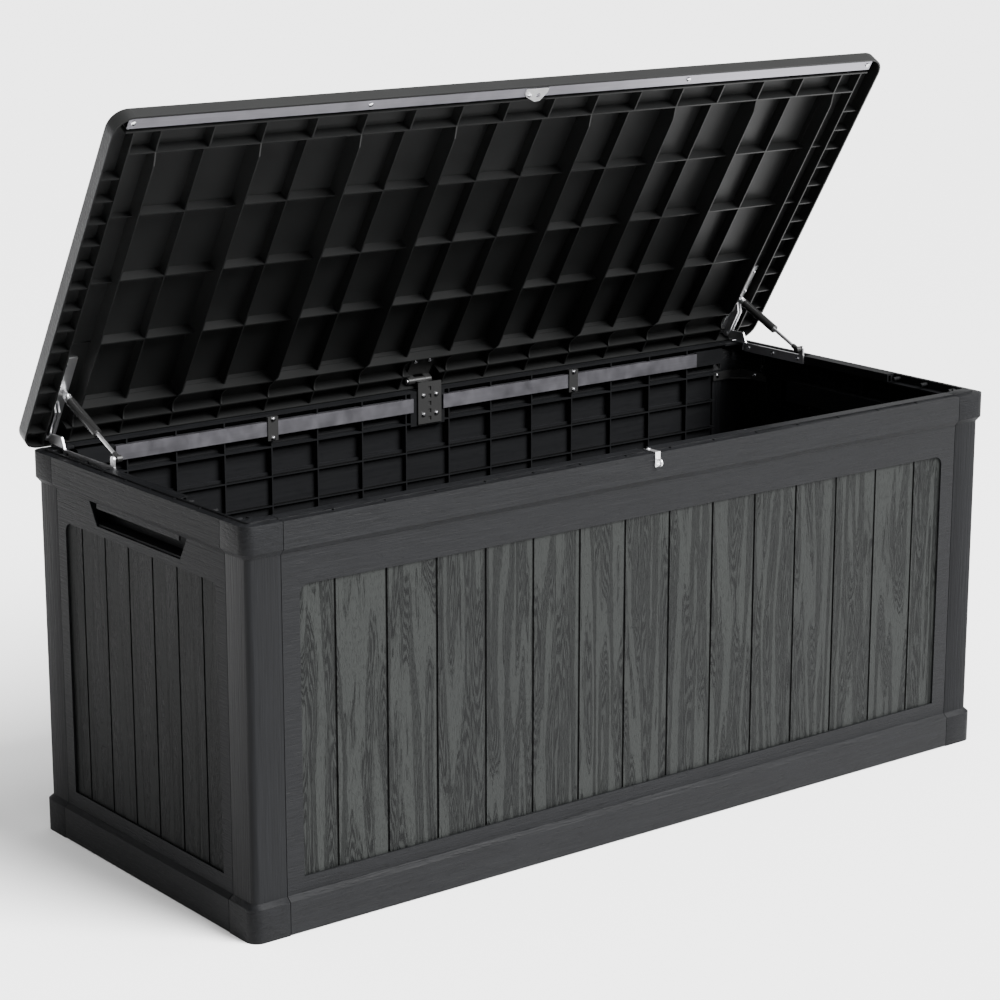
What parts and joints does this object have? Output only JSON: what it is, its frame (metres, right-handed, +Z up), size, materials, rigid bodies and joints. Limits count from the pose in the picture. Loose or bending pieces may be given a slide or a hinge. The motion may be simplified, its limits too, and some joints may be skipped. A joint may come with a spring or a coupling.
{
  "type": "deck storage box",
  "caption": "Long resin deck storage box with plank-grooved walls, corner posts, hand grips, and a ribbed lid held open on hinges and gas struts.",
  "frame": {"origin": "middle of the box's footprint, on the ground", "axes": "+X to the right along the front, +Y to the back where the hinges are, +Z up"},
  "size_m": [1.536, 0.6438, 1.1787],
  "materials": {
    "grey_resin": "satin",
    "grey_resin_posts": "satin",
    "dark_resin": "satin",
    "black_resin": "satin",
    "steel_bars": "satin",
    "steel_plates": "satin",
    "zinc_fasteners": "polished",
    "bright_steel": "polished",
    "black_paint": "gloss"
  },
  "bodies": {
    "box": {"front_panel": "grey_resin", "back_panel": "grey_resin", "side_panel_left": "grey_resin", "side_panel_right": "grey_resin", "corner_post_front_left": "grey_resin_posts", "corner_post_front_right": "grey_resin_posts", "corner_post_back_left": "grey_resin_posts", "corner_post_back_right": "grey_resin_posts", "floor_panel": "dark_resin", "corner_braces": "black_resin", "corner_brace_screws": "zinc_fasteners", "back_bar_left": "steel_bars", "back_bar_right": "steel_bars", "bar_straps": "black_resin", "bar_strap_screws": "zinc_fasteners", "centre_hinge_bracket": "black_resin", "centre_bracket_screws": "zinc_fasteners", "centre_hinge_pin": "bright_steel", "hinge_plate_left": "steel_plates", "hinge_plate_right": "steel_plates", "hinge_plate_screws": "zinc_fasteners", "end_hinge_pins": "bright_steel", "lock_staple": "bright_steel", "lock_staple_screw": "zinc_fasteners"},
    "lid": {"lid_panel": "grey_resin", "lid_front_bar": "steel_bars", "lid_bar_screws": "zinc_fasteners", "lid_latch": "bright_steel", "lid_latch_screw": "zinc_fasteners", "lid_bracket_left": "steel_plates", "lid_bracket_right": "steel_plates", "lid_bracket_bolts": "zinc_fasteners", "centre_hinge_leaf": "black_resin", "hinge_leaf_screws": "zinc_fasteners"},
    "cylinder_left": {"strut_cylinder_left": "black_paint", "strut_clevis_left": "bright_steel", "strut_pivot_pins_left": "bright_steel"},
    "rod_left": {"strut_rod_left": "bright_steel", "strut_rod_end_left": "black_resin"},
    "cylinder_right": {"strut_cylinder_right": "black_paint", "strut_clevis_right": "bright_steel", "strut_pivot_pins_right": "bright_steel"},
    "rod_right": {"strut_rod_right": "bright_steel", "strut_rod_end_right": "black_resin"}
  },
  "joints": [
    {"name": "lid_hinge", "type": "hinge", "parent": "box", "child": "lid", "pos_m": [0, 0.309, 0.6394], "axis": [1, 0, 0], "range_deg": [0, 58.8]},
    {"name": "strut_pivot_left", "type": "hinge", "parent": "lid", "child": "cylinder_left", "pos_m": [-0.7055, 0.26579, 0.70921], "axis": [1, 0, 0], "range_deg": [-83.56, 0]},
    {"name": "strut_slide_left", "type": "slide", "parent": "cylinder_left", "child": "rod_left", "axis": [0, -0.9106, -0.4133], "range_m": [-0.05415, 0]},
    {"name": "strut_pivot_right", "type": "hinge", "parent": "lid", "child": "cylinder_right", "pos_m": [0.7055, 0.26579, 0.70921], "axis": [1, 0, 0], "range_deg": [-83.56, 0]},
    {"name": "strut_slide_right", "type": "slide", "parent": "cylinder_right", "child": "rod_right", "axis": [0, -0.9106, -0.4133], "range_m": [-0.05415, 0]}
  ],
  "couplings": [
    {"joint": "strut_pivot_left", "follows": "lid_hinge", "ratio": -1.4193},
    {"joint": "strut_slide_left", "follows": "lid_hinge", "m_per_rad": -0.052667},
    {"joint": "strut_pivot_right", "follows": "lid_hinge", "ratio": -1.4193},
    {"joint": "strut_slide_right", "follows": "lid_hinge", "m_per_rad": -0.052667}
  ]
}
